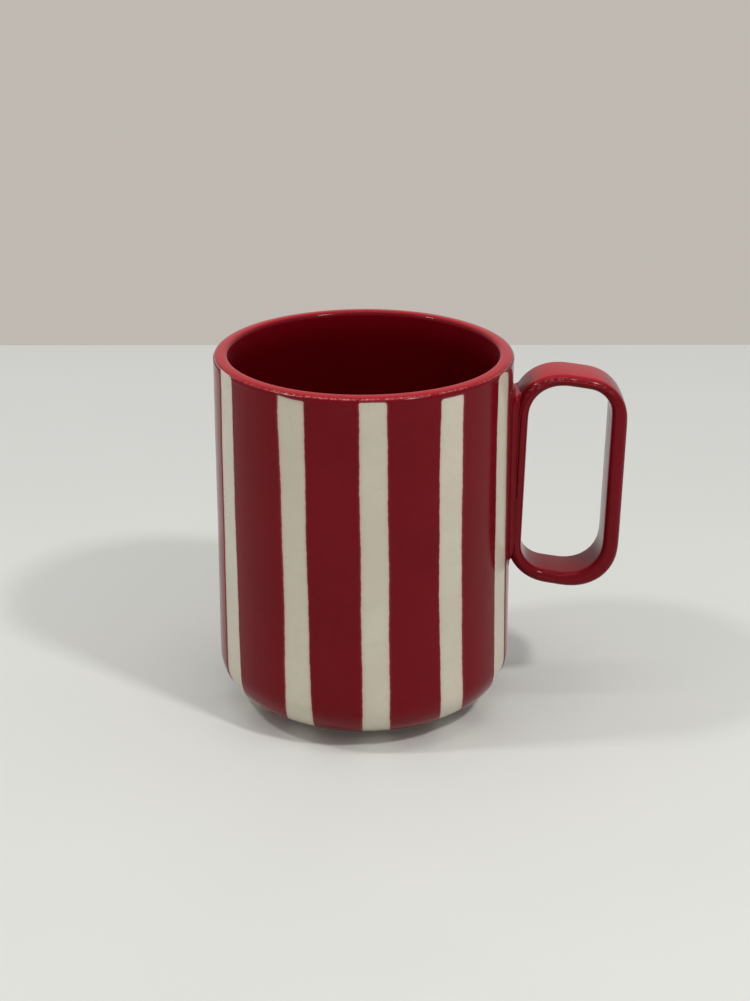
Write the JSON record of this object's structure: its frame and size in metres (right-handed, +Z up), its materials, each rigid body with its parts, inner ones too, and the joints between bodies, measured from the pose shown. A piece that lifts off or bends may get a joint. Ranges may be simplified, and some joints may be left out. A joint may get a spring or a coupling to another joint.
{
  "type": "mug",
  "caption": "Straight-sided stoneware mug with a curved heel and a flat-strap loop handle, glazed red with upright cream stripes.",
  "frame": {"origin": "centre of the flat foot, on the cup's axis, in the plane that the mug stands on", "axes": "+Z up along the cup's axis, +X from the axis towards the handle, +Y completes the right-handed frame"},
  "size_m": [0.116, 0.084, 0.1053],
  "materials": {
    "red_glaze": "glossy deep red glaze, lighter where it thins at the edges",
    "cream_glaze": "glossy cream glaze with small dark specks",
    "bare_clay": "matt unglazed buff stoneware"
  },
  "bodies": {
    "root": {"cup_body": "bare_clay", "handle_strap": "bare_clay", "handle_luting_seam": "red_glaze", "lining_and_rim_glaze": "red_glaze", "cream_glaze": "cream_glaze", "handle_glaze": "red_glaze", "red_stripe_01": "red_glaze", "red_stripe_02": "red_glaze", "red_stripe_03": "red_glaze", "red_stripe_04": "red_glaze", "red_stripe_05": "red_glaze", "red_stripe_06": "red_glaze", "red_stripe_07": "red_glaze", "red_stripe_08": "red_glaze", "red_stripe_09": "red_glaze", "red_stripe_10": "red_glaze", "red_stripe_11": "red_glaze"}
  },
  "joints": []
}
